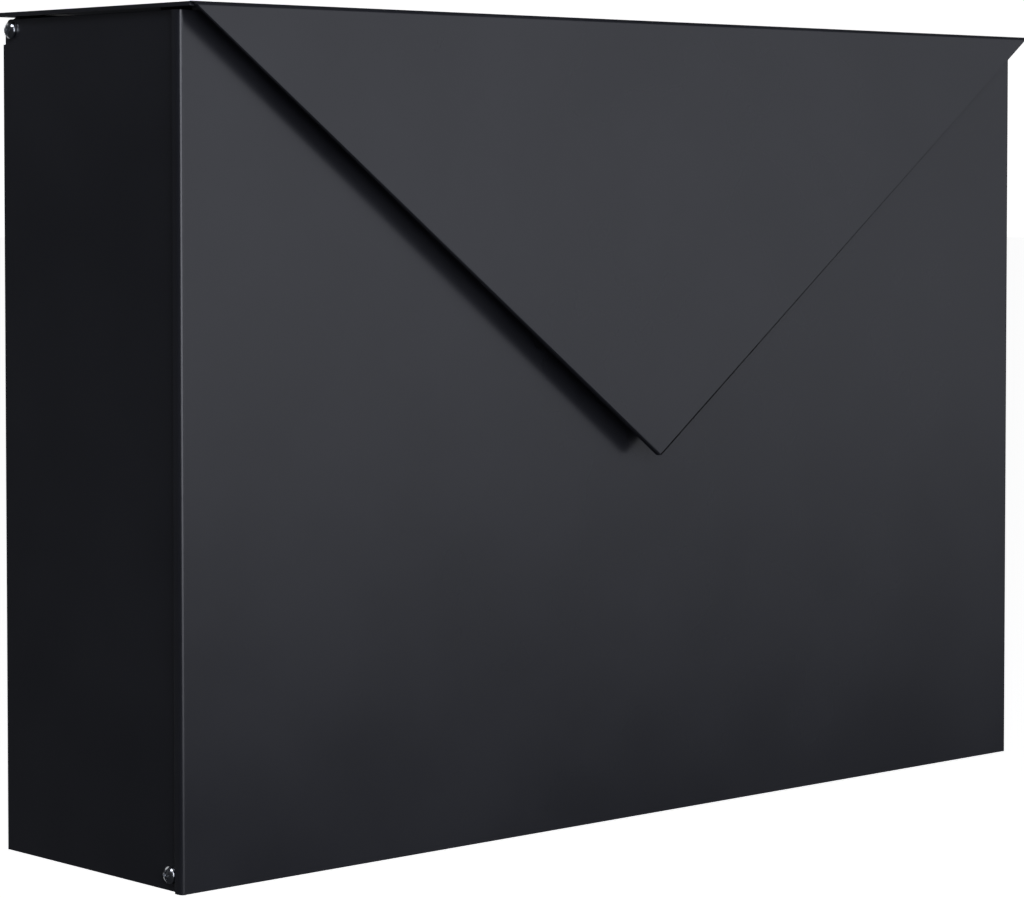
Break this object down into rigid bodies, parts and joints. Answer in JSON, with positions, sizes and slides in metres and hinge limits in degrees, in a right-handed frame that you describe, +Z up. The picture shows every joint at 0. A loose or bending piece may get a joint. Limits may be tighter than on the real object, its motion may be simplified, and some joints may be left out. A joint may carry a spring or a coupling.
{
  "type": "wall mounted mailbox",
  "caption": "Shallow wall mounted letter box of folded black sheet metal with a hinged lid whose front hangs down as a wide V flap over a drop-down locking door.",
  "frame": {"origin": "centre of the four wall holes, on the face of the wall that the rubber spacers rest against", "axes": "+X to the right seen from the front, +Y into the wall so the front faces -Y, +Z up"},
  "size_m": [0.4014, 0.113, 0.2774],
  "materials": {
    "powder_coat": "satin black powder coat with a fine texture",
    "zinc_steel": "bright zinc-plated steel",
    "lock_chrome": "nickel-plated, slightly dull",
    "brass": "turned brass",
    "rubber": "matte black rubber",
    "nylon": "natural nylon"
  },
  "bodies": {
    "housing": {"housing": "powder_coat", "mail_guard": "powder_coat", "lid_buffers": "rubber", "door_buffers": "rubber", "wall_spacers": "rubber", "lid_screw_left": "zinc_steel", "lid_screw_right": "zinc_steel", "door_screw_left": "zinc_steel", "door_screw_right": "zinc_steel", "lid_bush_left": "nylon", "lid_bush_right": "nylon", "door_bush_left": "nylon", "door_bush_right": "nylon", "lid_nut_left": "zinc_steel", "lid_nut_right": "zinc_steel", "door_nut_left": "zinc_steel", "door_nut_right": "zinc_steel"},
    "lid": {"lid": "powder_coat", "lid_ear_left": "powder_coat", "lid_ear_right": "powder_coat"},
    "door": {"door": "powder_coat", "door_ear_left": "powder_coat", "door_ear_right": "powder_coat", "lock_barrel": "lock_chrome", "lock_gasket": "rubber", "lock_nut": "zinc_steel"},
    "lock_rotor": {"lock_plug": "brass", "lock_wafers": "zinc_steel", "lock_cam": "zinc_steel", "lock_washer": "zinc_steel", "lock_screw": "zinc_steel"}
  },
  "joints": [
    {"name": "lid_hinge", "type": "hinge", "parent": "housing", "child": "lid", "pos_m": [0, -0.0102, 0.13405], "axis": [-1, 0, 0], "range_deg": [0, 90]},
    {"name": "door_hinge", "type": "hinge", "parent": "housing", "child": "door", "pos_m": [0, -0.0956, -0.13245], "axis": [1, 0, 0], "range_deg": [0, 90]},
    {"name": "lock_turn", "type": "hinge", "parent": "door", "child": "lock_rotor", "pos_m": [0, -0.1035, 0.10135], "axis": [0, -1, 0], "range_deg": [0, 90]}
  ]
}
